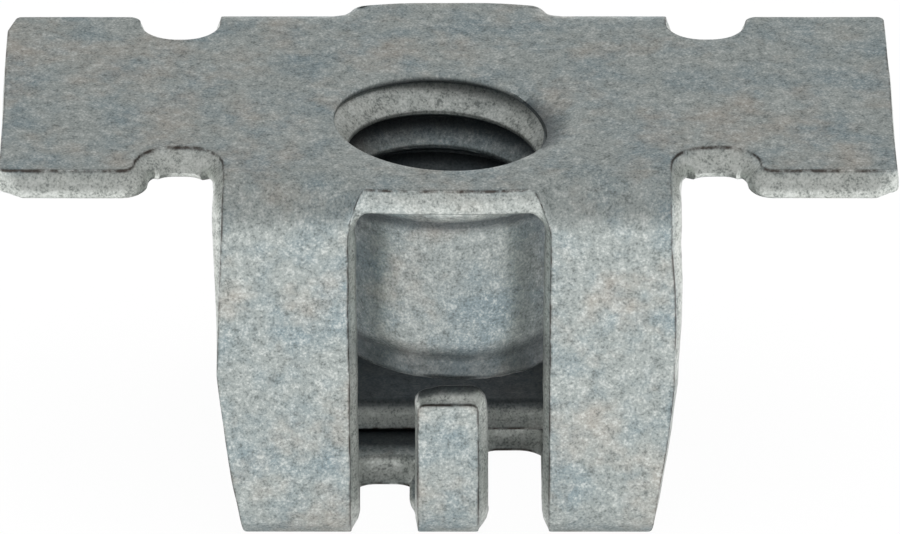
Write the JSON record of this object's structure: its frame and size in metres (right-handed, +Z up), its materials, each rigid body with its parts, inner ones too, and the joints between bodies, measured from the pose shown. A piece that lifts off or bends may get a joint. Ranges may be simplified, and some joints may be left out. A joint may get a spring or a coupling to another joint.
{
  "type": "clip nut",
  "caption": "Folded sheet-steel clip nut: a box for a slot, wings that bear beside it, a drawn threaded collar under the plate and a snap tab in the front window.",
  "frame": {"origin": "middle of the folded box on the plane of the floor's underside, which is the bottom centre of the overall box", "axes": "+Z up from the floor to the plate, along the bore, the way the screw leaves; +X along the wings; -Y towards the front wall with the snap tab"},
  "size_m": [0.0232, 0.011, 0.0105],
  "materials": {
    "zinc_coated_steel": "matt zinc coating, finely speckled"
  },
  "bodies": {
    "root": {"clip_nut": "zinc_coated_steel"}
  },
  "joints": []
}
